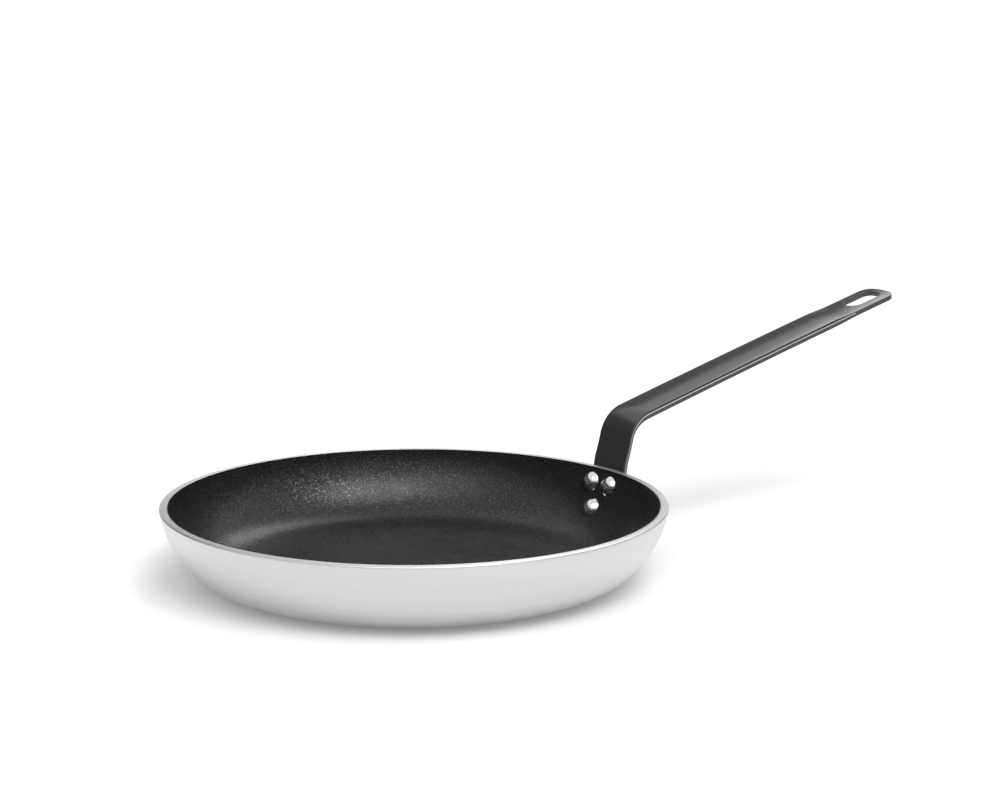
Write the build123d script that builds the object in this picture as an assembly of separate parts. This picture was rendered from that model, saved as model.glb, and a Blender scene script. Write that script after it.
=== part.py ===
from build123d import *
import math
import os

# Omelette pan of pressed aluminium, with a handle of steel strip held by three rivets.
# Millimetres. The origin is the centre of the flat base, +Z is up, and the handle leaves towards +X.

# Pan. Its side is two arcs. Each lean is an angle from upright, in degrees.
rim_diameter = 280.0
pan_height = 42.0
wall_thickness = 4.5
coating_thickness = 0.35
flare_radius = 55.0
rim_lean = 9.0
flare_lean = 48.0
rim_chamfer = 0.6

# Handle strip: foot, riser, bend and grip
strip_width = 27.0
strip_thickness = 3.0
strip_edge_radius = 0.5
seat_edge_radius = 0.4
handle_reach = 367.5
riser_lean = 13.0
bend_radius = 21.0
bend_corner_height = 30.9
grip_rise = 14.5
# Just above the rim the riser still has the pan's curve, and a little higher it is flat
curved_riser_height = 3.0
flattening_height = 12.0

# Crown of the grip, with its long edges turned down
crown_height = 0.8
grip_edge_height = 4.6
grip_edge_radius = 0.9
crown_run_in = 12.0
crown_run_out = 4.0

# Flat end of the grip and its hanging slot
flat_end_length = 38.0
end_corner_radius = 7.0
end_bow = 0.7
slot_length = 27.0
slot_end_border = 6.6
slot_side_border = 6.5
slot_root_radius = 6.8
slot_tip_radius = 4.8

# Rivets, and the foot of the handle round them
rivet_pitch = 16.6
upper_rivet_depth = 10.2
lower_rivet_depth = 24.6
shank_diameter = 6.0
hole_clearance = 0.1
head_diameter = 12.8
head_height = 3.6
tail_diameter = 11.0
tail_height = 3.0
head_skirt = 0.8
foot_margin = 3.4
foot_waist_radius = 2.5

# Solids that a cut trims run past it by this much
overrun = 8.0

# Worked out from the sizes above
rim_radius = rim_diameter / 2
rim_rise = pan_height - rim_chamfer


def up_and_out(lean):
    """Unit vector in the XZ plane that leans out from upright by this many degrees."""
    return Vector(math.sin(math.radians(lean)), 0, math.cos(math.radians(lean)))


def heel_radius():
    """Radius of the lower arc, which brings the side down to the flat base."""
    flare_rise = flare_radius * (math.sin(math.radians(flare_lean)) - math.sin(math.radians(rim_lean)))
    return (rim_rise - flare_rise) / (1 - math.sin(math.radians(flare_lean)))


def base_radius():
    """Radius of the flat base, where the lower arc starts."""
    flare_reach = flare_radius * (math.cos(math.radians(rim_lean)) - math.cos(math.radians(flare_lean)))
    return rim_radius - flare_reach - heel_radius() * math.cos(math.radians(flare_lean))


def bowl(inset):
    """Solid bowl whose floor and side lie this far inside the pan's outer surface, and run past the rim."""
    floor = Line((0, inset), (base_radius(), inset))
    heel = JernArc(floor @ 1, floor % 1, heel_radius() - inset, 90 - flare_lean)
    flare = JernArc(heel @ 1, heel % 1, flare_radius - inset, flare_lean - rim_lean)
    lip = Line(flare @ 1, flare @ 1 + (flare % 1) * overrun)
    inner_side = Polyline(lip @ 1, (0, (lip @ 1).Y), floor @ 0)
    return revolve(Plane.XZ * make_face(floor + heel + flare + lip + inner_side), Axis.Z)


def below(solid, height):
    """The part of a solid under this height."""
    return split(solid, Plane.XY.offset(height), keep=Keep.BOTTOM)


def rivet_planes():
    """Planes on the pan's outer surface at the rivets, named, with Z pointing straight out of the wall."""
    spots = {
        "rivet_upper_left": (rivet_pitch / 2, upper_rivet_depth),
        "rivet_upper_right": (-rivet_pitch / 2, upper_rivet_depth),
        "rivet_lower": (0, lower_rivet_depth),
    }
    return {name: wall_plane(side, depth) for name, (side, depth) in spots.items()}


def wall_plane(side, depth):
    """Plane on the outer surface at this Y and this depth below the rim, with Z pointing out."""
    flare_drop = (depth - rim_chamfer) / flare_radius
    lean = math.asin(math.sin(math.radians(rim_lean)) + flare_drop)
    radius = rim_radius - flare_radius * (math.cos(math.radians(rim_lean)) - math.cos(lean))
    turn = math.asin(side / radius)
    outward = Vector(math.cos(lean), 0, -math.sin(lean)).rotate(Axis.Z, math.degrees(turn))
    spot = Vector(radius, 0, pan_height - depth).rotate(Axis.Z, math.degrees(turn))
    return Plane(spot, x_dir=Vector(0, 1, 0).rotate(Axis.Z, math.degrees(turn)), z_dir=outward)


def rivet_holes():
    """Straight cutters for the three rivet holes, through the coating, the wall and the foot."""
    reach = 2 * (wall_thickness + coating_thickness + strip_thickness)
    cutter = Cylinder((shank_diameter + hole_clearance) / 2, 2 * reach)
    return [plane * cutter for plane in rivet_planes().values()]


def make_pan_body():
    """Pressed pan: flat base, flared side and flat rim with a small outer chamfer."""
    shell = below(bowl(0) - bowl(wall_thickness), pan_height)
    outer_edge = shell.edges().group_by(Axis.Z)[-1].sort_by(SortBy.RADIUS)[-1]
    return chamfer(outer_edge, rim_chamfer) - rivet_holes()


def make_coating():
    """Coat on the inside of the pan, up to the bare rim."""
    return below(bowl(wall_thickness) - bowl(wall_thickness + coating_thickness), pan_height) - rivet_holes()


def riser_corner():
    """Point where the faces of the riser and the grip would meet without the bend."""
    return Vector(rim_radius, 0, pan_height) + up_and_out(riser_lean) * (
        bend_corner_height / math.cos(math.radians(riser_lean)))


def bend_turn():
    """Angle in degrees that the strip turns through at the bend."""
    return 90 - riser_lean - grip_rise


def bend_setback():
    """Distance from the riser's corner to each end of the bend."""
    return bend_radius * math.tan(math.radians(bend_turn()) / 2)


def grip_direction():
    """Unit vector along the grip, away from the pan."""
    return up_and_out(90 - grip_rise)


def grip_length():
    """Length of the grip's upper face, from the riser's corner to the very end."""
    return (handle_reach - riser_corner().X) / math.cos(math.radians(grip_rise))


def grip_plane(distance):
    """Plane across the strip at this distance along the grip from the riser's corner."""
    return Plane(riser_corner() + grip_direction() * distance, x_dir=(0, 1, 0), z_dir=grip_direction())


def riser_plane(distance):
    """Plane across the strip at this distance down the riser from its corner."""
    return Plane(riser_corner() - up_and_out(riser_lean) * distance, x_dir=(0, 1, 0), z_dir=up_and_out(riser_lean))


def flat_section():
    """Cross-section of the plain strip, with its upper face on Y = 0 and rounded edges."""
    blank = Pos(0, -strip_thickness / 2) * Rectangle(strip_width, strip_thickness)
    return fillet(blank.vertices(), strip_edge_radius)


def crowned_section():
    """Cross-section of the grip: crowned upper face, hollow underside and long edges turned down."""
    side = strip_width / 2
    top = ThreePointArc((-side, 0), (0, crown_height), (side, 0))
    near_edge = Line((side, 0), (side, -grip_edge_height))
    underside = ThreePointArc((side, -grip_edge_height), (0, crown_height - strip_thickness),
                              (-side, -grip_edge_height))
    far_edge = Line((-side, -grip_edge_height), (-side, 0))
    blank = make_face(top + near_edge + underside + far_edge)
    return fillet(blank.vertices(), grip_edge_radius)


def foot_face():
    """Plane through the rivets on the middle line of the foot, with Z pointing out of the wall."""
    upper = wall_plane(0, upper_rivet_depth).origin
    lower = wall_plane(0, lower_rivet_depth).origin
    return Plane(upper, x_dir=(0, 1, 0), z_dir=Vector(0, 1, 0).cross(upper - lower))


def foot_outline(face):
    """Outline of the foot in its own plane: rounded triangle round the rivets, and the strip above it."""
    spots = [face.to_local_coords(plane.origin) for plane in rivet_planes().values()]
    triangle = make_face(Polyline([(spot.X, spot.Y) for spot in spots], close=True))
    plate = offset(triangle, head_diameter / 2 + foot_margin, kind=Kind.ARC)
    neck_length = upper_rivet_depth + curved_riser_height + overrun
    neck = Pos(0, neck_length / 2) * Rectangle(strip_width, neck_length)
    outline = plate + neck
    waist = outline.vertices().group_by(Axis.Y)[-2]
    return fillet(waist, foot_waist_radius)


def make_foot():
    """Foot of the handle: strip widened round the rivets and formed to the outside of the wall."""
    face = foot_face()
    band = below(bowl(-strip_thickness) - bowl(0), pan_height + curved_riser_height)
    foot = extrude(face * foot_outline(face), amount=overrun, both=True) & band
    # The outside is the outer one of the two curved faces below the rim and of the two cones above it
    lower_side = foot.faces().filter_by(GeomType.TORUS).sort_by(Axis.X)[-1].edges()
    upper_side = foot.faces().filter_by(GeomType.CONE).sort_by(Axis.X)[-1].edges()
    top = foot.faces().sort_by(Axis.Z)[-1].edges()
    border = lower_side + upper_side - (lower_side & upper_side) - top
    return fillet(border, strip_edge_radius)


def make_flattening(foot, flat_end):
    """Part of the riser that leads from the curved top of the foot into the flat strip."""
    top = foot.faces().sort_by(Axis.Z)[-1]
    seat_corners = top.vertices().sort_by_distance((0, 0, top.center().Z))[:2]
    return loft([top.fillet_2d(seat_edge_radius, seat_corners), flat_end * flat_section()])


def slot_outline():
    """Hanging slot in the plane of the flat end, rounder towards the pan than towards the tip."""
    centre = flat_end_length - slot_end_border - slot_length / 2
    slot = Pos(centre, 0) * Rectangle(slot_length, strip_width - 2 * slot_side_border)
    slot = fillet(slot.vertices().group_by(Axis.X)[-1], slot_tip_radius)
    return fillet(slot.vertices().group_by(Axis.X)[0], slot_root_radius)


def make_flat_end():
    """Flat end of the grip with rounded corners, a slight bow and the hanging slot."""
    side = strip_width / 2
    sides = Polyline((flat_end_length - end_bow, -side), (0, -side), (0, side), (flat_end_length - end_bow, side))
    bow = ThreePointArc(sides @ 0, (flat_end_length, 0), sides @ 1)
    plate = make_face(sides + bow)
    plate = fillet(plate.vertices().group_by(Axis.X)[-1], end_corner_radius)
    blank = extrude(plate - slot_outline(), amount=-strip_thickness)
    rounded = blank.faces().filter_by(Axis.Z).edges() - blank.faces().filter_by(Axis.X).edges()
    start = grip_plane(grip_length() - flat_end_length)
    return Plane(start.origin, x_dir=grip_direction(), z_dir=start.y_dir) * fillet(rounded, strip_edge_radius)


def make_handle():
    """Handle: foot, riser that flattens, bend, crowned grip and flat end, fused into one strip."""
    bend_start = riser_plane(bend_setback())
    bend_end = bend_setback()
    flat_riser = riser_plane((bend_corner_height - curved_riser_height - flattening_height)
                             / math.cos(math.radians(riser_lean)))
    crown_start = bend_end + crown_run_in
    crown_end = grip_length() - flat_end_length - crown_run_out
    foot = make_foot()
    flattening = make_flattening(foot, flat_riser)
    straight = loft([flat_riser * flat_section(), bend_start * flat_section()])
    bend_centre = bend_start.origin - bend_start.y_dir * bend_radius
    bend = revolve(bend_start * flat_section(), Axis(bend_centre, (0, 1, 0)), bend_turn())
    run_in = loft([grip_plane(bend_end) * flat_section(), grip_plane(crown_start) * crowned_section()])
    grip = extrude(grip_plane(crown_start) * crowned_section(), amount=crown_end - crown_start)
    run_out = loft([grip_plane(crown_end) * crowned_section(),
                    grip_plane(crown_end + crown_run_out) * flat_section()])
    handle = foot + [flattening, straight, bend, run_in, grip, run_out, make_flat_end()]
    return handle - rivet_holes()


def make_rivet(plane, neighbours):
    """Solid rivet: domed head inside, shank, and lower upset head on the foot, seated on its neighbours."""
    inner_face = -wall_thickness - coating_thickness
    head = TangentArc((0, inner_face - head_height), (head_diameter / 2, inner_face), tangent=(1, 0))
    tail = TangentArc((0, strip_thickness + tail_height), (tail_diameter / 2, strip_thickness), tangent=(1, 0))
    side = Polyline(
        head @ 1,
        (head_diameter / 2, inner_face + head_skirt),
        (shank_diameter / 2, inner_face + head_skirt),
        (shank_diameter / 2, strip_thickness - head_skirt),
        (tail_diameter / 2, strip_thickness - head_skirt),
        tail @ 1,
    )
    axis_line = Line(tail @ 0, head @ 0)
    blank = revolve(Plane.XZ * make_face(head + side + tail + axis_line), Axis.Z)
    return plane * blank - neighbours


def main():
    """Write one STEP file for each piece."""
    os.makedirs("parts", exist_ok=True)
    pieces = {"pan_body": make_pan_body(), "nonstick_coating": make_coating(), "handle": make_handle()}
    neighbours = list(pieces.values())
    for name, plane in rivet_planes().items():
        pieces[name] = make_rivet(plane, neighbours)
    for name, piece in pieces.items():
        export_step(piece, f"parts/{name}.step")


main()
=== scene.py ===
"""Omelette pan: brushed aluminium, flecked nonstick lining, riveted handle of black strip steel.

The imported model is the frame. Every piece here stands where its CAD node does, in metres: the
origin is the centre of the flat base, +Z is up and the handle leaves towards +X.
"""

import logging
import math
from dataclasses import dataclass, field
from enum import Enum

import bmesh
import bpy
from mathutils import Matrix, Vector


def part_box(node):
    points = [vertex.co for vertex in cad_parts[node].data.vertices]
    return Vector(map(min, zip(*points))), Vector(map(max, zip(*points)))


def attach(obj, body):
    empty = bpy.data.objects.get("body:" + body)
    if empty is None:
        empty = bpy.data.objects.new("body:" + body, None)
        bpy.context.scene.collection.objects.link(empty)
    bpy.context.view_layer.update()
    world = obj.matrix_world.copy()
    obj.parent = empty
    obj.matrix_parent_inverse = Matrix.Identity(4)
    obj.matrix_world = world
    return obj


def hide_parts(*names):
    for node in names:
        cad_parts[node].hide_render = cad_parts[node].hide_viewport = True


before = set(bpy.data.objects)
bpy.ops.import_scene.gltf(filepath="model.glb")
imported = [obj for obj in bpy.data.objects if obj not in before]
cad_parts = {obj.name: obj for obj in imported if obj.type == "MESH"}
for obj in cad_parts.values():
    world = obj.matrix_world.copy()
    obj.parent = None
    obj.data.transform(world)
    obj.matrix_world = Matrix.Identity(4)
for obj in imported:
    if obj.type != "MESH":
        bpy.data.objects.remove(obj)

log = logging.getLogger("omelette_pan")

MM = 0.001
BODY = "root"
# Attribute of the handle that keeps each point's place along, across and through the strip
STRIP_PLACE = "strip_place"
# Points closer together than this are one point
MERGE = 0.001 * MM
# Noise mostly keeps between these two values, and each of its octaves is this much of the last
NOISE_LOW = 0.3
NOISE_HIGH = 0.7
NOISE_ROUGHNESS = 0.55
# Swing in radians under which an arc is a straight line
STRAIGHT = 1e-6
WHITE = (1.0, 1.0, 1.0, 1.0)


def sin_of(degrees: float) -> float:
    """Sine of an angle in degrees."""
    return math.sin(math.radians(degrees))


def cos_of(degrees: float) -> float:
    """Cosine of an angle in degrees."""
    return math.cos(math.radians(degrees))


def fade(value: float, start: float, end: float) -> float:
    """Smooth step from 0 at the start to 1 at the end, whichever of them is larger."""
    share = min(max((value - start) / (end - start), 0.0), 1.0)
    return share * share * (3 - 2 * share)


def follow_arc(
    x: float, z: float, lean: float, length: float, end_lean: float
) -> tuple[float, float, float]:
    """Move a point along an arc in the XZ plane.

    Args:
        x: X of the point, in metres.
        z: Z of the point, in metres.
        lean: Its direction, in degrees from upright towards +X.
        length: Length of the arc, in metres, negative to go back.
        end_lean: Direction at the end of the arc.

    Returns:
        X, Z and direction at the end of the arc.
    """
    swing = math.radians(end_lean - lean)
    if abs(swing) < STRAIGHT:
        return x + length * sin_of(lean), z + length * cos_of(lean), end_lean
    radius = length / swing
    across = radius * (cos_of(lean) - cos_of(end_lean))
    up = radius * (sin_of(end_lean) - sin_of(lean))
    return x + across, z + up, end_lean


def linear_colour(hex_value: str) -> tuple[float, float, float, float]:
    """Turn an sRGB hex colour into the linear one that shaders work in.

    Args:
        hex_value: Colour as "#RRGGBB".

    Returns:
        Linear red, green, blue and an alpha of 1.
    """
    channels = [int(hex_value[i:i + 2], 16) / 255 for i in (1, 3, 5)]
    linear = [c / 12.92 if c <= 0.04045 else ((c + 0.055) / 1.055) ** 2.4 for c in channels]
    return (linear[0], linear[1], linear[2], 1.0)


def add_node(
    tree: bpy.types.NodeTree,
    kind: str,
    inputs: dict[str | int, object] | None = None,
    **settings: object,
) -> bpy.types.Node:
    """Add a shader node, set its properties, and fill or link its inputs.

    Args:
        tree: Node tree that the node joins.
        kind: Identifier of the node's type, without the ShaderNode that each of them starts with.
        inputs: Plain values, sockets to link from, or nodes, whose first output is linked, by the
            input's name or number.
        settings: Properties of the node, by name.

    Returns:
        The new node.
    """
    # A Map Range node's inputs 0 to 4 are its value, the range that comes in and the range that
    # leaves. A Mix node's are 0 for the factor, 2 and 3 for numbers, and 6 and 7 for colours.
    node = tree.nodes.new("ShaderNode" + kind)
    for name, value in settings.items():
        setattr(node, name, value)
    for key, value in (inputs or {}).items():
        if isinstance(value, bpy.types.Node):
            value = value.outputs[0]
        if isinstance(value, bpy.types.NodeSocket):
            tree.links.new(value, node.inputs[key])
        else:
            node.inputs[key].default_value = value
    return node


def new_material(name: str) -> tuple[bpy.types.Material, bpy.types.NodeTree]:
    """Make an empty node material.

    Args:
        name: The finish in plain words.

    Returns:
        The material and its node tree.
    """
    material = bpy.data.materials.new(name)
    material.use_nodes = True
    material.node_tree.nodes.clear()
    return material, material.node_tree


def turned_coordinates(
    tree: bpy.types.NodeTree, rim_radius: float, groove: float, streak: float
) -> bpy.types.NodeSocket:
    """Coordinates for marks that run round the pan's axis, as a polishing belt leaves them.

    Args:
        tree: Node tree of the material.
        rim_radius: Radius of the pan, in metres, at which the marks have their length.
        groove: Width of a mark across its run, in metres.
        streak: Length of a mark along its run, in metres.

    Returns:
        A vector in which unit noise gives marks of that width and length.
    """
    place = add_node(tree, "TexCoord").outputs["Object"]
    axes = add_node(tree, "SeparateXYZ", {0: place})
    flat = add_node(tree, "CombineXYZ", {"X": axes.outputs["X"], "Y": axes.outputs["Y"]})
    radius = add_node(tree, "VectorMath", {0: flat}, operation="LENGTH").outputs["Value"]
    # Height and radius both grow from the base to the rim, so their sum tells every ring apart
    profile = add_node(tree, "Math", {0: axes.outputs["Z"], 1: radius}, operation="ADD")
    across = add_node(tree, "Math", {0: profile, 1: groove}, operation="DIVIDE")
    heading = add_node(tree, "VectorMath", {0: flat}, operation="NORMALIZE")
    turns = rim_radius / streak
    turned = add_node(tree, "VectorMath", {0: heading, "Scale": turns}, operation="SCALE")
    along = add_node(tree, "SeparateXYZ", {0: turned})
    marks = {"X": along.outputs["X"], "Y": along.outputs["Y"], "Z": across}
    return add_node(tree, "CombineXYZ", marks).outputs[0]


@dataclass(frozen=True)
class BrushedAluminium:
    """Pressed aluminium, belt-brushed round the pan's axis.

    To the eye: a pale silvery grey, near white where it mirrors the floor, with faint streaks.
    """

    rim_radius: float
    name: str = "aluminium_circular_brushed"
    light: str = "#DADADA"
    dark: str = "#D4D4D4"
    tone_low: float = 0.35
    tone_high: float = 0.65
    roughness: float = 0.34
    roughness_spread: float = 0.04
    anisotropy: float = 0.5
    anisotropy_turn: float = 0.25
    # Real brush marks are under 0.1 mm wide, too fine for the render, so they are drawn 0.6 mm wide
    groove: float = 0.6 * MM
    streak: float = 60 * MM
    groove_depth: float = 0.003 * MM
    bump_strength: float = 0.5
    # Broader bands of marks lie among the fine ones
    fine_share: float = 0.7
    band_scale: float = 1 / 6
    # The rim's flat top is turned, and so duller
    rim_roughness: float = 0.45
    rim_slope_start: float = 0.9
    rim_slope_full: float = 0.98

    def material(self) -> bpy.types.Material:
        """Build the brushed metal.

        Returns:
            The finished material.
        """
        material, tree = new_material(self.name)
        marks = turned_coordinates(tree, self.rim_radius, self.groove, self.streak)
        noise = {"Vector": marks, "Roughness": NOISE_ROUGHNESS}
        fine = add_node(tree, "TexNoise", {**noise, "Scale": 1.0, "Detail": 3.0})
        wide = add_node(tree, "TexNoise", {**noise, "Scale": self.band_scale, "Detail": 1.0})
        part = add_node(tree, "Math", {0: fine, 1: self.fine_share}, operation="MULTIPLY")
        both = add_node(
            tree, "Math", {0: wide, 1: 1 - self.fine_share, 2: part}, operation="MULTIPLY_ADD"
        )
        shade = add_node(tree, "MapRange", {0: both, 1: self.tone_low, 2: self.tone_high})
        tone = add_node(
            tree,
            "Mix",
            {0: shade, 6: linear_colour(self.dark), 7: linear_colour(self.light)},
            data_type="RGBA",
        )
        bump = add_node(
            tree,
            "Bump",
            {"Strength": self.bump_strength, "Distance": self.groove_depth, "Height": fine},
        )
        facing = add_node(tree, "NewGeometry").outputs["True Normal"]
        upward = add_node(tree, "SeparateXYZ", {0: facing}).outputs["Z"]
        on_rim = add_node(
            tree, "MapRange", {0: upward, 1: self.rim_slope_start, 2: self.rim_slope_full}
        )
        low, high = self.roughness - self.roughness_spread, self.roughness + self.roughness_spread
        brushed = add_node(
            tree, "MapRange", {0: both, 1: NOISE_LOW, 2: NOISE_HIGH, 3: low, 4: high}
        )
        roughness = add_node(
            tree, "Mix", {0: on_rim, 2: brushed, 3: self.rim_roughness}, data_type="FLOAT"
        )
        shader = add_node(
            tree,
            "BsdfPrincipled",
            {
                "Base Color": tone.outputs[2],
                "Metallic": 1.0,
                "Roughness": roughness,
                "Anisotropic": self.anisotropy,
                "Anisotropic Rotation": self.anisotropy_turn,
                "Tangent": add_node(tree, "Tangent", direction_type="RADIAL", axis="Z"),
                "Normal": bump,
            },
        )
        add_node(tree, "OutputMaterial", {"Surface": shader})
        return material


@dataclass(frozen=True)
class FleckedNonstick:
    """Sprayed nonstick coat with fine mica flecks, baked on.

    To the eye: a soft charcoal sheen without mirror images, which sparkles faintly where light
    catches the flecks.
    """

    name: str = "nonstick_coat_mica_flecked"
    base: str = "#191919"
    fleck: str = "#6C6C6C"
    ior: float = 1.36
    roughness: float = 0.29
    roughness_spread: float = 0.03
    # Real flecks are about 0.1 mm, too fine for the render, so they are drawn 0.36 mm across
    fleck_size: float = 0.36 * MM
    fleck_share: float = 0.15
    faintest_fleck: float = 0.2
    # How far a fleck may lie out of level, as the slope of its face
    fleck_tilt: float = 0.22
    spray_blotch: float = 9 * MM

    def material(self) -> bpy.types.Material:
        """Build the flecked coat.

        Returns:
            The finished material.
        """
        material, tree = new_material(self.name)
        place = add_node(tree, "TexCoord").outputs["Object"]
        cells = add_node(
            tree,
            "TexVoronoi",
            {"Vector": place, "Scale": 1 / self.fleck_size, "Randomness": 1.0},
            feature="F1",
        ).outputs["Color"]
        chance = add_node(tree, "SeparateColor", {0: cells})
        chosen = add_node(
            tree, "Math", {0: chance.outputs[0], 1: self.fleck_share}, operation="LESS_THAN"
        )
        shine = add_node(tree, "MapRange", {0: chance.outputs[1], 3: self.faintest_fleck, 4: 1.0})
        fleck = add_node(tree, "Math", {0: chosen, 1: shine}, operation="MULTIPLY")
        tone = add_node(
            tree,
            "Mix",
            {0: fleck, 6: linear_colour(self.base), 7: linear_colour(self.fleck)},
            data_type="RGBA",
        )
        # Each fleck lies at its own slant, which its cell's random colour gives
        level = add_node(tree, "NewGeometry").outputs["Normal"]
        middled = add_node(tree, "VectorMath", {0: cells, 1: (0.5, 0.5, 0.5)}, operation="SUBTRACT")
        tilt = add_node(tree, "Math", {0: chosen, 1: self.fleck_tilt}, operation="MULTIPLY")
        slant = add_node(tree, "VectorMath", {0: middled, "Scale": tilt}, operation="SCALE")
        slanted = add_node(tree, "VectorMath", {0: level, 1: slant}, operation="ADD")
        normal = add_node(tree, "VectorMath", {0: slanted}, operation="NORMALIZE")
        sprayed = add_node(
            tree,
            "TexNoise",
            {
                "Vector": place,
                "Scale": 1 / self.spray_blotch,
                "Detail": 1.0,
                "Roughness": NOISE_ROUGHNESS,
            },
        )
        low, high = self.roughness - self.roughness_spread, self.roughness + self.roughness_spread
        shader = add_node(
            tree,
            "BsdfPrincipled",
            {
                "Base Color": tone.outputs[2],
                "Metallic": fleck,
                "Roughness": add_node(
                    tree, "MapRange", {0: sprayed, 1: NOISE_LOW, 2: NOISE_HIGH, 3: low, 4: high}
                ),
                "IOR": self.ior,
                "Normal": normal,
            },
        )
        add_node(tree, "OutputMaterial", {"Surface": shader})
        return material


@dataclass(frozen=True)
class BlackCoatedSteel:
    """Steel strip with a smooth baked black epoxy coat, and a painted highlight along its two long
    edges.

    To the eye: near black with a satin gloss that lifts to grey where the strip lies flat to the
    view, and a thin silvery line of painted highlight, drawn as bare steel, down each side.
    """

    half_width: float
    name: str = "steel_black_epoxy_satin"
    base: str = "#323232"
    painted_edge_highlight: str = "#C8C7C5"
    ior: float = 1.55
    roughness: float = 0.18
    roughness_spread: float = 0.02
    edge_highlight_roughness: float = 0.3
    # The coat's slight waviness, as it flows while it bakes
    ripple: float = 2.5 * MM
    ripple_depth: float = 0.004 * MM
    bump_strength: float = 0.4
    # The painted highlight, a line drawn as bare steel: its depth under the strip's face, half its
    # width, and where it ends
    line_depth: float = 1.55 * MM
    line_half_width: float = 0.3 * MM
    line_blur: float = 0.2 * MM
    line_end: float = 219.5 * MM
    # How far in from the strip's very edge a point still counts as being on its side
    side_depth: float = 0.1 * MM
    # Painted shade: the coat is drawn darkest and dull in the fold just above the line
    crease_shade: str = "#0C0C0C"
    crease_depth: float = 0.8 * MM
    crease_half_width: float = 0.35 * MM
    crease_roughness: float = 0.6
    # On the riser the painted highlight is drawn fainter than on the grip
    riser_highlight_share: float = 0.5
    riser_end: float = 24 * MM
    bend_end: float = 34 * MM

    def side_band(
        self, tree: bpy.types.NodeTree, axes: bpy.types.Node, depth: float, half_width: float
    ) -> bpy.types.Node:
        """Find a band that runs along the strip's sides as far as the line's end.

        Args:
            tree: Node tree of the material.
            axes: Node that gives the place along, across and through the strip.
            depth: Depth of the band's middle under the strip's face, in metres.
            half_width: Half the band's width, in metres.

        Returns:
            A node that gives 1 in the band and 0 outside it.
        """
        below = add_node(tree, "Math", {0: axes.outputs["Z"], 1: depth}, operation="SUBTRACT")
        off_band = add_node(tree, "Math", {0: below}, operation="ABSOLUTE")
        inner, outer = half_width - self.line_blur / 2, half_width + self.line_blur / 2
        band = add_node(tree, "MapRange", {0: off_band, 1: inner, 2: outer, 3: 1.0, 4: 0.0})
        aside = add_node(tree, "Math", {0: axes.outputs["Y"]}, operation="ABSOLUTE")
        on_side = add_node(
            tree, "Math", {0: aside, 1: self.half_width - self.side_depth}, operation="GREATER_THAN"
        )
        before_end = add_node(
            tree, "Math", {0: axes.outputs["X"], 1: self.line_end}, operation="LESS_THAN"
        )
        reach = add_node(tree, "Math", {0: on_side, 1: before_end}, operation="MULTIPLY")
        return add_node(tree, "Math", {0: band, 1: reach}, operation="MULTIPLY")

    def material(self) -> bpy.types.Material:
        """Build the black coat.

        Returns:
            The finished material.
        """
        material, tree = new_material(self.name)
        place = add_node(tree, "TexCoord").outputs["Object"]
        flow = add_node(
            tree,
            "TexNoise",
            {
                "Vector": place,
                "Scale": 1 / self.ripple,
                "Detail": 2.0,
                "Roughness": NOISE_ROUGHNESS,
            },
        )
        bump = add_node(
            tree,
            "Bump",
            {"Strength": self.bump_strength, "Distance": self.ripple_depth, "Height": flow},
        )
        strip = add_node(tree, "Attribute", attribute_name=STRIP_PLACE).outputs["Vector"]
        axes = add_node(tree, "SeparateXYZ", {0: strip})
        along = axes.outputs["X"]
        # Painted highlight: a line of bare-steel metal down the sides, drawn fainter on the riser
        edge_highlight_strength = add_node(
            tree,
            "MapRange",
            {0: along, 1: self.riser_end, 2: self.bend_end, 3: self.riser_highlight_share, 4: 1.0},
        )
        band = self.side_band(tree, axes, self.line_depth, self.line_half_width)
        line = add_node(tree, "Math", {0: band, 1: edge_highlight_strength}, operation="MULTIPLY")
        # Painted shade: a dark, dull band in the fold just above the painted highlight
        crease_shade = self.side_band(tree, axes, self.crease_depth, self.crease_half_width)
        coat = add_node(
            tree,
            "Mix",
            {0: crease_shade, 6: linear_colour(self.base), 7: linear_colour(self.crease_shade)},
            data_type="RGBA",
        )
        tone = add_node(
            tree,
            "Mix",
            {0: line, 6: coat.outputs[2], 7: linear_colour(self.painted_edge_highlight)},
            data_type="RGBA",
        )
        low, high = self.roughness - self.roughness_spread, self.roughness + self.roughness_spread
        smooth = add_node(tree, "MapRange", {0: flow, 1: NOISE_LOW, 2: NOISE_HIGH, 3: low, 4: high})
        gloss = add_node(
            tree, "Mix", {0: crease_shade, 2: smooth, 3: self.crease_roughness}, data_type="FLOAT"
        )
        roughness = add_node(
            tree, "Mix", {0: line, 2: gloss, 3: self.edge_highlight_roughness}, data_type="FLOAT"
        )
        shader = add_node(
            tree,
            "BsdfPrincipled",
            {
                "Base Color": tone.outputs[2],
                "Metallic": line,
                "Roughness": roughness,
                "IOR": self.ior,
                "Normal": bump,
            },
        )
        add_node(tree, "OutputMaterial", {"Surface": shader})
        return material


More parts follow.
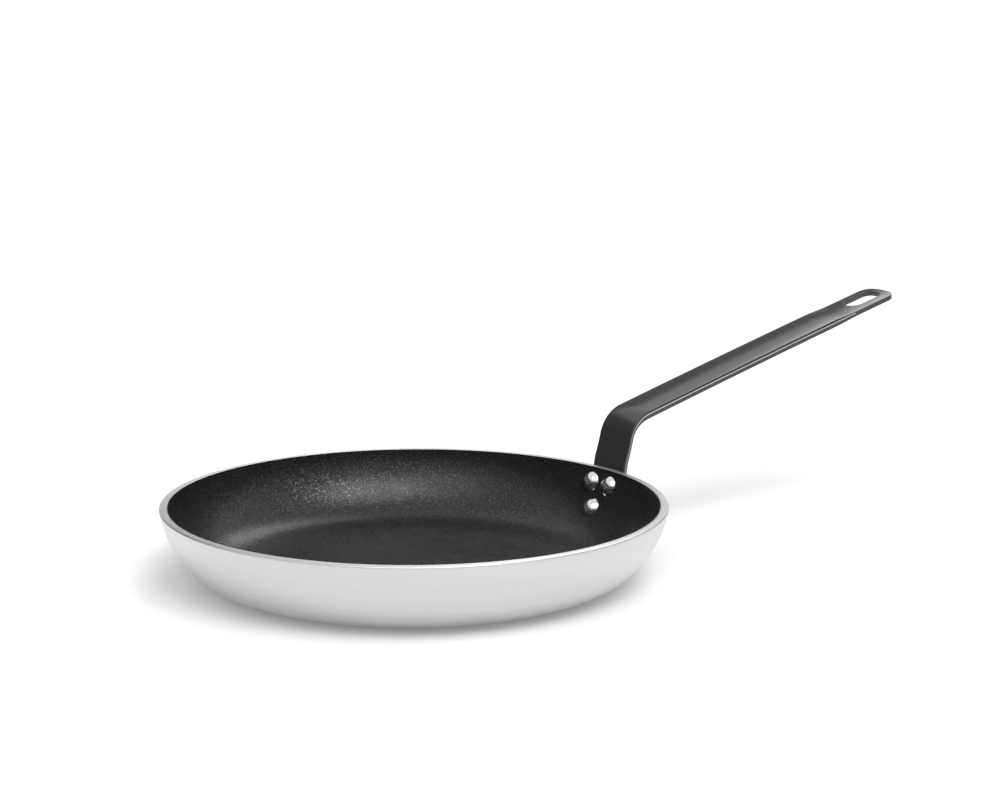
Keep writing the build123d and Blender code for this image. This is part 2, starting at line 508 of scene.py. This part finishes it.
@dataclass(frozen=True)
class PolishedRivet:
    """Aluminium rivet, cold-headed and tumble-polished.

    To the eye: a bright mirror, slightly hazy and dimpled.
    """

    name: str = "aluminium_tumble_polished"
    base: str = "#D8D8D8"
    smoothest: float = 0.07
    roughest: float = 0.14
    dimple: float = 1.2 * MM
    dimple_depth: float = 0.012 * MM
    bump_strength: float = 0.5

    def material(self) -> bpy.types.Material:
        """Build the polished rivet metal.

        Returns:
            The finished material.
        """
        material, tree = new_material(self.name)
        place = add_node(tree, "TexCoord").outputs["Object"]
        dents = add_node(
            tree,
            "TexNoise",
            {
                "Vector": place,
                "Scale": 1 / self.dimple,
                "Detail": 2.0,
                "Roughness": NOISE_ROUGHNESS,
            },
        )
        bump = add_node(
            tree,
            "Bump",
            {"Strength": self.bump_strength, "Distance": self.dimple_depth, "Height": dents},
        )
        haze = {0: dents, 1: NOISE_LOW, 2: NOISE_HIGH, 3: self.smoothest, 4: self.roughest}
        shader = add_node(
            tree,
            "BsdfPrincipled",
            {
                "Base Color": linear_colour(self.base),
                "Metallic": 1.0,
                "Roughness": add_node(tree, "MapRange", haze),
                "Normal": bump,
            },
        )
        add_node(tree, "OutputMaterial", {"Surface": shader})
        return material


class ProfilePen:
    """Draws a chain of edges in the XZ plane of a bmesh, as lines and arcs from the last point."""

    def __init__(self, bm: bmesh.types.BMesh, start: Vector, heading: float) -> None:
        """Put the pen down.

        Args:
            bm: Mesh that takes the chain.
            start: First point, in metres.
            heading: Direction of travel in degrees, from +X towards +Z.
        """
        self.bm = bm
        self.tip = bm.verts.new(start)
        self.heading = math.radians(heading)

    def direction(self) -> Vector:
        """Unit vector along the pen's travel."""
        return Vector((math.cos(self.heading), 0, math.sin(self.heading)))

    def line(self, length: float) -> "ProfilePen":
        """Draw a straight run.

        Args:
            length: Length of the run, in metres.

        Returns:
            The pen, for the next run.
        """
        made = bmesh.ops.extrude_vert_indiv(self.bm, verts=[self.tip])
        self.tip = made["verts"][0]
        bmesh.ops.translate(self.bm, vec=self.direction() * length, verts=[self.tip])
        return self

    def line_to(self, x: float, z: float) -> "ProfilePen":
        """Draw a straight run to a point, and keep its direction.

        Args:
            x: X of the point, in metres.
            z: Z of the point, in metres.

        Returns:
            The pen, for the next run.
        """
        run = Vector((x, 0, z)) - self.tip.co
        self.heading = math.atan2(run.z, run.x)
        return self.line(run.length)

    def arc(self, radius: float, turn: float, steps: int) -> "ProfilePen":
        """Draw an arc that leaves along the pen's travel.

        Args:
            radius: Radius, in metres.
            turn: Degrees turned through, positive to the left.
            steps: Number of edges along the arc.

        Returns:
            The pen, for the next run.
        """
        angle = math.radians(turn)
        side = math.copysign(1.0, angle)
        left = Vector((-math.sin(self.heading), 0, math.cos(self.heading)))
        centre = self.tip.co + left * radius * side
        made = bmesh.ops.spin(
            self.bm,
            geom=[self.tip],
            cent=centre,
            axis=(0, -1, 0),
            angle=angle,
            steps=steps,
            use_duplicate=False,
        )
        self.tip = next(item for item in made["geom_last"] if isinstance(item, bmesh.types.BMVert))
        self.heading += angle
        return self


def finish_piece(
    name: str, bm: bmesh.types.BMesh, material: bpy.types.Material, nodes: list[str]
) -> bpy.types.Object:
    """Turn a finished bmesh into a piece that rides on the pan and stands for its CAD nodes.

    Args:
        name: Name of the piece.
        bm: Its mesh, in place and in metres. It is freed.
        material: Its finish.
        nodes: CAD nodes that the piece stands for.

    Returns:
        The piece.
    """
    bmesh.ops.recalc_face_normals(bm, faces=bm.faces)
    mesh = bpy.data.meshes.new(name)
    bm.to_mesh(mesh)
    bm.free()
    mesh.polygons.foreach_set("use_smooth", [True] * len(mesh.polygons))
    mesh.materials.append(material)
    piece = bpy.data.objects.new(name, mesh)
    bpy.context.scene.collection.objects.link(piece)
    weighted = piece.modifiers.new("even_shading", "WEIGHTED_NORMAL")
    weighted.keep_sharp = True
    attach(piece, BODY)
    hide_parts(*nodes)
    log.info("%s: %d faces, stands for %s", name, len(mesh.polygons), ", ".join(nodes))
    return piece


def slice_mesh(bm: bmesh.types.BMesh, axis: Vector, place: float) -> None:
    """Cut new edges into a mesh where a plane square to an axis crosses it.

    Args:
        bm: Mesh to cut.
        axis: Unit vector along the axis.
        place: Place of the plane along the axis, in metres.
    """
    everything = bm.verts[:] + bm.edges[:] + bm.faces[:]
    bmesh.ops.bisect_plane(bm, geom=everything, dist=MERGE, plane_co=axis * place, plane_no=axis)


def revolve_profile(bm: bmesh.types.BMesh, steps: int) -> None:
    """Spin everything in a bmesh once round the Z axis and close the seam.

    Args:
        bm: Mesh that holds the profile.
        steps: Number of divisions round the axis.
    """
    bmesh.ops.spin(
        bm,
        geom=bm.verts[:] + bm.edges[:],
        cent=(0, 0, 0),
        axis=(0, 0, 1),
        angle=math.tau,
        steps=steps,
        use_merge=True,
        use_duplicate=False,
    )
    bmesh.ops.remove_doubles(bm, verts=bm.verts, dist=MERGE)


@dataclass(frozen=True)
class PanProfile:
    """Outer surface of the pan, a flat base and two arcs up to the rim, which sets out every piece."""

    rim_radius: float
    height: float
    wall: float = 4.5 * MM
    flare_radius: float = 55 * MM
    rim_lean: float = 9.0
    flare_lean: float = 48.0
    rim_chamfer: float = 0.6 * MM
    heel_steps: int = 14
    flare_steps: int = 20

    @classmethod
    def from_frame(cls) -> "PanProfile":
        """Profile whose radius and height are those of the CAD pan."""
        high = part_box("pan_body")[1]
        return cls(rim_radius=high.x, height=high.z)

    def heel_radius(self) -> float:
        """Radius of the lower arc."""
        flare_rise = self.flare_radius * (sin_of(self.flare_lean) - sin_of(self.rim_lean))
        return (self.height - self.rim_chamfer - flare_rise) / (1 - sin_of(self.flare_lean))

    def base_radius(self) -> float:
        """Radius of the flat base."""
        flare_reach = self.flare_radius * (cos_of(self.rim_lean) - cos_of(self.flare_lean))
        return self.rim_radius - flare_reach - self.heel_radius() * cos_of(self.flare_lean)

    def draw_side(self, pen: "ProfilePen", inset: float) -> None:
        """Draw the two arcs of the side from the flat floor up to the rim's lean.

        Args:
            pen: Pen at the edge of the floor, travelling outwards.
            inset: Distance inside the outer surface, in metres.
        """
        pen.arc(self.heel_radius() - inset, 90 - self.flare_lean, self.heel_steps)
        pen.arc(self.flare_radius - inset, self.flare_lean - self.rim_lean, self.flare_steps)

    def mouth_radius(self, inset: float) -> float:
        """Find where a surface inside the outer one meets the rim's height.

        Args:
            inset: Distance inside the outer surface, in metres.

        Returns:
            Its radius there, in metres.
        """
        rise = self.rim_chamfer - inset * sin_of(self.rim_lean)
        widening = rise * math.tan(math.radians(self.rim_lean))
        return self.rim_radius - inset * cos_of(self.rim_lean) + widening

    def lean_at(self, depth: float) -> float:
        """Lean of the outer surface in degrees at a depth below the rim, on the upper arc."""
        sine = sin_of(self.rim_lean) + (depth - self.rim_chamfer) / self.flare_radius
        return math.degrees(math.asin(sine))

    def radius_at(self, depth: float) -> float:
        """Radius of the outer surface at a depth below the rim, on the upper arc."""
        reach = self.flare_radius * (cos_of(self.rim_lean) - cos_of(self.lean_at(depth)))
        return self.rim_radius - reach


@dataclass
class PanBody:
    """Pressed pan: flat base, flared side, flat rim, and small chamfers at the rim's two edges."""

    profile: PanProfile
    outer_chamfer: float = 0.51 * MM
    inner_chamfer: float = 0.3 * MM
    steps_round: int = 320

    def build(self, material: bpy.types.Material) -> bpy.types.Object:
        """Build the pan's metal.

        Args:
            material: Brushed metal.

        Returns:
            The piece.
        """
        pan = self.profile
        mouth = pan.mouth_radius(pan.wall)
        bm = bmesh.new()
        outer = ProfilePen(bm, Vector((0, 0, 0)), 0)
        outer.line(pan.base_radius())
        pan.draw_side(outer, 0)
        outer.line_to(pan.rim_radius - self.outer_chamfer, pan.height)
        outer.line_to(mouth + self.inner_chamfer, pan.height)
        outer.line_to(mouth, pan.height - self.inner_chamfer)
        inner = ProfilePen(bm, Vector((0, 0, pan.wall)), 0)
        inner.line(pan.base_radius())
        pan.draw_side(inner, pan.wall)
        inner.line_to(mouth, pan.height - self.inner_chamfer)
        bmesh.ops.remove_doubles(bm, verts=bm.verts, dist=MERGE)
        revolve_profile(bm, self.steps_round)
        return finish_piece("pan_shell", bm, material, ["pan_body"])


@dataclass
class Lining:
    """Nonstick coat on the inside of the pan, up to the bare rim."""

    profile: PanProfile
    thickness: float = 0.35 * MM
    steps_round: int = 320

    def build(self, material: bpy.types.Material) -> bpy.types.Object:
        """Build the coat as a thin closed shell.

        Args:
            material: Flecked coat.

        Returns:
            The piece.
        """
        pan = self.profile
        bm = bmesh.new()
        for inset in (pan.wall, pan.wall + self.thickness):
            pen = ProfilePen(bm, Vector((0, 0, inset)), 0)
            pen.line(pan.base_radius())
            pan.draw_side(pen, inset)
            pen.line_to(pan.mouth_radius(inset), pan.height)
        pen.line_to(pan.mouth_radius(pan.wall), pan.height)
        bmesh.ops.remove_doubles(bm, verts=bm.verts, dist=MERGE)
        revolve_profile(bm, self.steps_round)
        return finish_piece("nonstick_lining", bm, material, ["nonstick_coating"])


class RivetPlace(Enum):
    """The three rivets, each with its place across the handle and its depth below the rim."""

    UPPER_LEFT = ("rivet_upper_left", 8.3 * MM, 10.2 * MM)
    UPPER_RIGHT = ("rivet_upper_right", -8.3 * MM, 10.2 * MM)
    LOWER = ("rivet_lower", 0.0, 24.6 * MM)

    @property
    def node(self) -> str:
        """Name of the rivet's CAD node."""
        return self.value[0]

    @property
    def side(self) -> float:
        """Place across the handle, in metres."""
        return self.value[1]

    @property
    def depth(self) -> float:
        """Depth below the rim, in metres."""
        return self.value[2]

    def seat(self, pan: PanProfile) -> Matrix:
        """Find the rivet's seat on the pan's outer surface.

        Args:
            pan: Outer surface of the pan.

        Returns:
            Frame of the seat, with Z pointing straight out of the wall.
        """
        radius = pan.radius_at(self.depth)
        turn = Matrix.Rotation(math.asin(self.side / radius), 4, "Z")
        tilt = Matrix.Rotation(math.radians(90 + pan.lean_at(self.depth)), 4, "Y")
        return turn @ Matrix.Translation((radius, 0, pan.height - self.depth)) @ tilt


@dataclass
class Rivet:
    """Solid rivet: domed head inside, shank, and lower upset head outside."""

    place: RivetPlace
    profile: PanProfile
    lining_thickness: float
    strip_thickness: float
    shank_radius: float = 3 * MM
    head_radius: float = 6.4 * MM
    head_height: float = 3.6 * MM
    tail_radius: float = 5.5 * MM
    tail_height: float = 3 * MM
    # The heads' edges drop below their faces by this much
    skirt: float = 0.8 * MM
    dome_steps: int = 16
    steps_round: int = 72

    def build(self, material: bpy.types.Material) -> bpy.types.Object:
        """Build the rivet in its hole.

        Args:
            material: Polished metal.

        Returns:
            The piece.
        """
        bm = bmesh.new()
        inner_face = -self.profile.wall - self.lining_thickness
        self.draw_dome(bm, self.head_radius, self.head_height, inner_face, -1)
        self.draw_dome(bm, self.tail_radius, self.tail_height, self.strip_thickness, 1)
        shank = ProfilePen(bm, Vector((self.shank_radius, 0, inner_face + self.skirt)), 90)
        shank.line_to(self.shank_radius, self.strip_thickness - self.skirt)
        bmesh.ops.remove_doubles(bm, verts=bm.verts, dist=MERGE)
        revolve_profile(bm, self.steps_round)
        bmesh.ops.transform(bm, matrix=self.place.seat(self.profile), verts=bm.verts)
        name = f"{self.place.node}_polished"
        return finish_piece(name, bm, material, [self.place.node])

    def draw_dome(
        self, bm: bmesh.types.BMesh, radius: float, height: float, face: float, side: int
    ) -> None:
        """Draw one head's outline, from its top on the axis to the shank.

        Args:
            bm: Mesh that takes the outline.
            radius: Radius of the head, in metres.
            height: Height of the head above its face, in metres.
            face: Place of that face along the axis, in metres.
            side: 1 for a head that points along +Z, and -1 for the other.
        """
        sphere = (radius ** 2 + height ** 2) / (2 * height)
        sweep = math.degrees(math.asin(radius / sphere))
        pen = ProfilePen(bm, Vector((0, 0, face + side * height)), 0)
        pen.arc(sphere, -side * sweep, self.dome_steps)
        pen.line_to(radius, face - side * self.skirt)
        pen.line_to(self.shank_radius, face - side * self.skirt)


@dataclass(frozen=True)
class StripPath:
    """Line that the handle strip follows along its middle, on the side that faces the pan.

    It is a chain of arcs. Places on it are distances from the end of the pan's flare just under the
    rim, positive towards the tip, and a lean is an angle from upright in degrees.
    """

    profile: PanProfile
    # Just above the rim the strip still has the pan's curve, and a little higher it is flat
    curved_riser: float = 3.645 * MM
    settling: float = 4 * MM
    settling_lean: float = 14.86
    riser: float = 11.96 * MM
    riser_lean: float = 13.0
    bend_radius: float = 21 * MM
    # The grip bows down a little towards its tip
    grip_start_lean: float = 75.0
    grip_end_lean: float = 76.0
    grip: float = 214.9 * MM

    @property
    def bend_start(self) -> float:
        """Where the bend starts."""
        return self.curved_riser + self.settling + self.riser

    @property
    def bend_end(self) -> float:
        """Where the bend ends and the grip starts."""
        turn = math.radians(self.grip_start_lean - self.riser_lean)
        return self.bend_start + self.bend_radius * turn

    @property
    def tip(self) -> float:
        """The very end of the handle."""
        return self.bend_end + self.grip

    def at_depth(self, depth: float) -> float:
        """Place on the line at a depth below the rim, on the pan's wall."""
        lean = self.profile.lean_at(depth) - self.profile.rim_lean
        return -self.profile.flare_radius * math.radians(lean)

    def middle(self, along: float) -> tuple[float, float, float]:
        """Find a point of the line.

        Args:
            along: Place on the line, in metres.

        Returns:
            Its X and Z in metres, and the lean there in degrees.
        """
        pan = self.profile
        x, z, lean = pan.rim_radius, pan.height - pan.rim_chamfer, pan.rim_lean
        if along < 0:
            return follow_arc(x, z, lean, along, lean - math.degrees(along / pan.flare_radius))
        runs = (
            (self.curved_riser, pan.rim_lean),
            (self.settling, self.settling_lean),
            (self.riser, self.riser_lean),
            (self.bend_end - self.bend_start, self.grip_start_lean),
            (self.grip, self.grip_end_lean),
        )
        for length, end_lean in runs:
            done = min(along, length)
            x, z, lean = follow_arc(x, z, lean, done, lean + (end_lean - lean) * done / length)
            along -= done
        return x, z, lean

    def place(self, along: float, side: float, depth: float) -> Vector:
        """Put a point of the flat strip where it is on the finished handle.

        Args:
            along: Place along the line, in metres.
            side: Distance to the side of the line, in metres.
            depth: Depth under the face that looks at the pan, in metres.

        Returns:
            The point.
        """
        x, z, lean = self.middle(along)
        curve = fade(along, self.bend_start - self.settling / 2, self.curved_riser)
        turn = curve * math.asin(side / x)
        wrap = curve * (x - math.sqrt(x ** 2 - side ** 2))
        level = cos_of(lean)
        outward = Vector((level * math.cos(turn), level * math.sin(turn), -sin_of(lean)))
        return Vector((x - wrap, side, z)) + outward * depth


@dataclass
class Handle:
    """Handle pressed from strip: foot on the wall, riser, bend, crowned grip and flat end."""

    path: StripPath
    thickness: float = 3 * MM
    half_width: float = 13.5 * MM
    edge_radius: float = 0.45 * MM
    foot_radius: float = 9.8 * MM
    waist_radius: float = 2.5 * MM
    tip_corner: float = 7 * MM
    tip_bow: float = 0.7 * MM
    slot_length: float = 26.2 * MM
    slot_half_width: float = 7 * MM
    slot_end_border: float = 5.6 * MM
    slot_root_radius: float = 6.8 * MM
    slot_tip_radius: float = 4.8 * MM
    crown_height: float = 0.8 * MM
    lip: float = 1.5 * MM
    # The edges start to turn down in the bend
    crown_lead: float = 19 * MM
    crown_run_in: float = 1 * MM
    flat_end: float = 34 * MM
    crown_run_out: float = 24 * MM
    # Edges sharper than this many degrees are rounded
    sharp_angle: float = 60.0
    edge_segments: int = 3
    # Edges along each arc of the outline
    foot_steps: int = 10
    waist_steps: int = 6
    tip_steps: int = 12
    bow_steps: int = 3
    slot_tip_steps: int = 10
    slot_root_steps: int = 12
    # Cuts along the strip, as shares of its half width
    cuts_aside: tuple[float, ...] = (0.25, 0.5, 0.75, 0.92)

    def build(self, material: bpy.types.Material) -> bpy.types.Object:
        """Cut the blank, round its edges and press it to shape.

        Args:
            material: Black coat.

        Returns:
            The piece.
        """
        bm = bmesh.new()
        self.draw_blank(bm)
        bmesh.ops.remove_doubles(bm, verts=bm.verts, dist=MERGE)
        bmesh.ops.contextual_create(bm, geom=bm.edges[:])
        everything = bm.verts[:] + bm.edges[:] + bm.faces[:]
        bmesh.ops.mirror(bm, geom=everything, axis="Z", merge_dist=0.0)
        bmesh.ops.remove_doubles(bm, verts=bm.verts, dist=MERGE)
        bmesh.ops.recalc_face_normals(bm, faces=bm.faces)
        grown = bmesh.ops.extrude_face_region(bm, geom=bm.faces[:])["geom"]
        moved = [item for item in grown if isinstance(item, bmesh.types.BMVert)]
        bmesh.ops.translate(bm, vec=(0, self.thickness, 0), verts=moved)
        bmesh.ops.recalc_face_normals(bm, faces=bm.faces)
        sharp = math.radians(self.sharp_angle)
        corners = [edge for edge in bm.edges if edge.is_manifold and edge.calc_face_angle() > sharp]
        bmesh.ops.bevel(
            bm,
            geom=corners,
            affect="EDGES",
            offset=self.edge_radius,
            offset_type="OFFSET",
            segments=self.edge_segments,
            profile=0.5,
            material=-1,
        )
        self.divide(bm)
        self.press(bm)
        return finish_piece("handle_strip", bm, material, ["handle"])

    def draw_blank(self, bm: bmesh.types.BMesh) -> None:
        """Draw half of the flat blank with its slot, the length on X and the width on Z.

        Args:
            bm: Mesh that takes the outline.
        """
        low = self.path.at_depth(RivetPlace.LOWER.depth)
        high = self.path.at_depth(RivetPlace.UPPER_LEFT.depth)
        spread = RivetPlace.UPPER_LEFT.side
        slant = math.degrees(math.atan2(spread, high - low))
        aside = self.half_width + self.waist_radius - spread
        waist = math.degrees(math.asin(aside / (self.foot_radius + self.waist_radius)))
        pen = ProfilePen(bm, Vector((low - self.foot_radius, 0, 0)), 90)
        pen.arc(self.foot_radius, slant - 90, self.foot_steps)
        pen.line(math.hypot(high - low, spread))
        pen.arc(self.foot_radius, waist - 90 - slant, self.foot_steps)
        pen.arc(self.waist_radius, 90 - waist, self.waist_steps)
        tip = self.path.tip
        bow_radius = (self.half_width ** 2 + self.tip_bow ** 2) / (2 * self.tip_bow)
        corner_side = self.half_width - self.tip_corner
        corner_reach = math.sqrt((bow_radius - self.tip_corner) ** 2 - corner_side ** 2)
        bow_turn = math.degrees(math.atan2(corner_side, corner_reach))
        pen.line_to(tip - bow_radius + corner_reach, self.half_width)
        pen.arc(self.tip_corner, bow_turn - 90, self.tip_steps)
        pen.arc(bow_radius, -bow_turn, self.bow_steps)
        slot_end = tip - self.slot_end_border
        slot_start = slot_end - self.slot_length
        pen.line_to(slot_end, 0)
        pen.line_to(slot_end, self.slot_half_width - self.slot_tip_radius)
        pen.arc(self.slot_tip_radius, 90, self.slot_tip_steps)
        pen.line_to(slot_start + self.slot_root_radius, self.slot_half_width)
        pen.arc(self.slot_root_radius, 90, self.slot_root_steps)
        pen.line_to(slot_start, 0)
        pen.line_to(low - self.foot_radius, 0)

    def divide(self, bm: bmesh.types.BMesh) -> None:
        """Cut the flat strip across and along, closest where it will bend most.

        Args:
            bm: Mesh of the flat strip.
        """
        path = self.path
        grip_full = path.bend_end + self.crown_run_in
        crown_end = path.tip - self.flat_end
        # Where each stretch of the strip starts and ends, and how many cuts it gets
        stretches = (
            (path.at_depth(RivetPlace.LOWER.depth) - self.foot_radius, 0.0, 22),
            (0.0, path.bend_start, 16),
            (path.bend_start, path.bend_end, 26),
            (path.bend_end, grip_full, 2),
            (grip_full, crown_end - self.crown_run_out, 34),
            (crown_end - self.crown_run_out, crown_end, 16),
            (crown_end, path.tip, 6),
        )
        for start, end, count in stretches:
            for step in range(count):
                slice_mesh(bm, Vector((1, 0, 0)), start + (end - start) * step / count)
        for share in self.cuts_aside:
            for side in (-1, 1):
                slice_mesh(bm, Vector((0, 0, 1)), side * share * self.half_width)

    def press(self, bm: bmesh.types.BMesh) -> None:
        """Crown the grip, note each point's place on the strip, and bend the strip along its line.

        Args:
            bm: Mesh of the divided flat strip.
        """
        layer = bm.verts.layers.float_vector.new(STRIP_PLACE)
        for vert in bm.verts:
            along, depth, side = vert.co
            depth = self.crowned(along, side, depth)
            vert[layer] = (along, side, depth)
            vert.co = self.path.place(along, side, depth)

    def crowned(self, along: float, side: float, depth: float) -> float:
        """Depth of a point once the grip's middle is raised and its long edges are turned down.

        Args:
            along: Place along the strip, in metres.
            side: Distance to the side of its middle, in metres.
            depth: Depth in the flat strip, in metres.

        Returns:
            Its depth on the crowned strip, in metres.
        """
        start, end = self.path.bend_end - self.crown_lead, self.path.tip - self.flat_end
        begun = fade(along, start, self.path.bend_end + self.crown_run_in)
        ended = fade(along, end - self.crown_run_out, end)
        edge = (side / self.half_width) ** 2
        turned = (1 - ended) * self.lip * edge * depth / self.thickness
        # Where the edges end the crown goes on, a little lower
        return depth + begun * (turned + self.crown_height * (edge - 1 + ended))


@dataclass(frozen=True)
class SoftLamp:
    """Large soft lamp, far enough away that it lights the whole floor alike."""

    name: str
    # Degrees from +X towards +Y seen from above, degrees above the floor, and degrees across
    azimuth: float
    elevation: float
    width: float
    # Light on a surface that faces it, in W/m2
    strength: float
    distance: float = 3.0

    def hang(self) -> None:
        """Hang the lamp, turned to the pan."""
        data = bpy.data.lights.new(self.name, "SUN")
        data.angle = math.radians(self.width)
        data.energy = self.strength
        lamp = bpy.data.objects.new(self.name, data)
        level, up = cos_of(self.elevation), sin_of(self.elevation)
        back = Vector((cos_of(self.azimuth) * level, sin_of(self.azimuth) * level, up))
        lamp.location = back * self.distance
        lamp.rotation_mode = "QUATERNION"
        lamp.rotation_quaternion = (-back).to_track_quat("-Z", "Y")
        bpy.context.scene.collection.objects.link(lamp)
        log.info("%s: %.2f W/m2 from azimuth %.0f", self.name, self.strength, self.azimuth)


@dataclass
class Studio:
    """Pale floor, light from all round, large soft lamps, and dark cloth for mirrors to see."""

    floor_radius: float = 60.0
    floor_colour: str = "#F4F4F4"
    world_level: float = 0.5
    # What the camera and mirrors see on top of the floor's own light, so that it reads as white
    floor_lift: float = 0.12
    # Dark cloth all round, which only mirrors see, hung higher behind the pan than in front
    cloth_radius: float = 3.0
    cloth_height: float = 1.2
    cloth_slope: float = 1.4
    cloth_least: float = 1.35
    cloth_azimuth: float = 118.0
    cloth_level: float = 0.13
    # White paper rises behind the pan, as the camera sees it, and the cloth hangs above it
    paper_height: float = 0.86
    paper_azimuth: float = 57.0
    paper_spread: float = 28.0
    ring_steps: int = 96
    lamps: tuple[SoftLamp, ...] = (
        SoftLamp("softbox_middle", -92, 58, 34, 1.15),
        SoftLamp("softbox_left", -138, 56, 40, 0.6),
        SoftLamp("softbox_right", -64, 56, 32, 0.2),
        SoftLamp("side_lamp", 36, 43, 26, 0.38),
    )

    def build(self) -> None:
        """Set the whole studio up."""
        self.set_world()
        self.lay_floor()
        self.hang_cloth()
        for lamp in self.lamps:
            lamp.hang()

    def seen_directly(self, tree: bpy.types.NodeTree) -> bpy.types.NodeSocket:
        """Tell what the camera, mirrors and glass look at from what light bounces off.

        Args:
            tree: Node tree that asks.

        Returns:
            Socket that gives 1 for camera, glossy and transmission rays, and 0 for the rest.
        """
        path = add_node(tree, "LightPath")
        seen = path.outputs["Is Camera Ray"]
        for kind in ("Is Glossy Ray", "Is Transmission Ray"):
            either = add_node(tree, "Math", {0: seen, 1: path.outputs[kind]}, operation="MAXIMUM")
            seen = either.outputs[0]
        return seen

    def set_world(self) -> None:
        """Light the set evenly, and show white where the camera or a mirror looks past the floor."""
        world = bpy.data.worlds.new("studio")
        bpy.context.scene.world = world
        world.use_nodes = True
        tree = world.node_tree
        tree.nodes.clear()
        seen = self.seen_directly(tree)
        dim = add_node(tree, "Background", {"Color": WHITE, "Strength": self.world_level})
        white = add_node(tree, "Background", {"Color": WHITE, "Strength": 1.0})
        mixed = add_node(tree, "MixShader", {0: seen, 1: dim, 2: white})
        add_node(tree, "OutputWorld", {"Surface": mixed})

    def stage_piece(
        self, name: str, bm: bmesh.types.BMesh, material: bpy.types.Material
    ) -> bpy.types.Object:
        """Turn a bmesh into a piece of the set, which isn't part of the pan.

        Args:
            name: Name of the piece.
            bm: Its mesh, in place and in metres. It is freed.
            material: Its finish.

        Returns:
            The piece.
        """
        mesh = bpy.data.meshes.new(name)
        bm.to_mesh(mesh)
        bm.free()
        mesh.materials.append(material)
        piece = bpy.data.objects.new(name, mesh)
        bpy.context.scene.collection.objects.link(piece)
        log.info("%s: on the set", name)
        return piece

    def lay_floor(self) -> None:
        """Lay a wide sheet of white paper on the level that the pan stands on."""
        material, tree = new_material("paper_white_matt")
        paper = add_node(tree, "BsdfDiffuse", {"Color": linear_colour(self.floor_colour)})
        seen = self.seen_directly(tree)
        lift = add_node(tree, "Math", {0: seen, 1: self.floor_lift}, operation="MULTIPLY")
        glow = add_node(tree, "Emission", {"Strength": lift})
        both = add_node(tree, "AddShader", {0: paper, 1: glow})
        add_node(tree, "OutputMaterial", {"Surface": both})
        bm = bmesh.new()
        bmesh.ops.create_circle(
            bm, cap_ends=True, segments=self.ring_steps, radius=self.floor_radius
        )
        self.stage_piece("floor", bm, material)

    def hang_cloth(self) -> None:
        """Hang the dark cloth."""
        material, tree = new_material("studio_cloth_dark")
        glow = add_node(tree, "Emission", {"Strength": self.cloth_level})
        add_node(tree, "OutputMaterial", {"Surface": glow})
        bm = bmesh.new()
        bmesh.ops.create_circle(bm, segments=self.ring_steps, radius=self.cloth_radius)
        grown = bmesh.ops.extrude_edge_only(bm, edges=bm.edges[:])["geom"]
        back = Vector((cos_of(self.cloth_azimuth), sin_of(self.cloth_azimuth), 0))
        facing = Vector((cos_of(self.paper_azimuth), sin_of(self.paper_azimuth), 0))
        top = {item for item in grown if isinstance(item, bmesh.types.BMVert)}
        for vert in bm.verts:
            outward = vert.co / self.cloth_radius
            if vert in top:
                rise = self.cloth_slope * outward.dot(back)
                vert.co.z = max(self.cloth_height + rise, self.cloth_least)
            elif outward.dot(facing) > cos_of(self.paper_spread):
                vert.co.z = self.paper_height
        cloth = self.stage_piece("dark_cloth", bm, material)
        cloth.visible_camera = False
        cloth.visible_diffuse = False
        cloth.visible_transmission = False
        cloth.visible_volume_scatter = False
        cloth.visible_shadow = False


@dataclass
class ProductCamera:
    """The photograph's camera, placed round the centre of the rim."""

    profile: PanProfile
    lens: float = 79.2
    sensor: float = 36.0
    distance: float = 1217.5 * MM
    azimuth: float = -35.18
    elevation: float = 13.446
    aim: Vector = field(default_factory=lambda: Vector((43.51, -20.10, 54.91)) * MM)
    roll: float = 0.219
    near: float = 0.05
    far: float = 200.0

    def build(self) -> bpy.types.Object:
        """Make the scene's camera.

        Returns:
            The camera.
        """
        data = bpy.data.cameras.new("product_camera")
        data.sensor_width = self.sensor
        data.lens = self.lens
        data.clip_start = self.near
        data.clip_end = self.far
        camera = bpy.data.objects.new("product_camera", data)
        level, up = cos_of(self.elevation), sin_of(self.elevation)
        back = Vector((sin_of(self.azimuth) * level, -cos_of(self.azimuth) * level, up))
        rim_centre = Vector((0, 0, self.profile.height))
        camera.location = rim_centre + back * self.distance
        sight = rim_centre + self.aim - camera.location
        rolled = Matrix.Rotation(math.radians(self.roll), 3, "Z")
        turn = sight.to_track_quat("-Z", "Y").to_matrix() @ rolled
        camera.rotation_mode = "QUATERNION"
        camera.rotation_quaternion = turn.to_quaternion()
        bpy.context.scene.collection.objects.link(camera)
        bpy.context.scene.camera = camera
        return camera


def main() -> None:
    """Build the pan, its finishes and the studio."""
    logging.basicConfig(level=logging.INFO, format="%(message)s")
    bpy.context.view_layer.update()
    profile = PanProfile.from_frame()
    PanBody(profile).build(BrushedAluminium(profile.rim_radius).material())
    lining = Lining(profile)
    lining.build(FleckedNonstick().material())
    handle = Handle(StripPath(profile))
    handle.build(BlackCoatedSteel(handle.half_width).material())
    polished = PolishedRivet().material()
    for place in RivetPlace:
        Rivet(place, profile, lining.thickness, handle.thickness).build(polished)
    Studio().build()
    ProductCamera(profile).build()
    bpy.context.scene.view_settings.view_transform = "Standard"


if __name__ == "__main__":
    main()
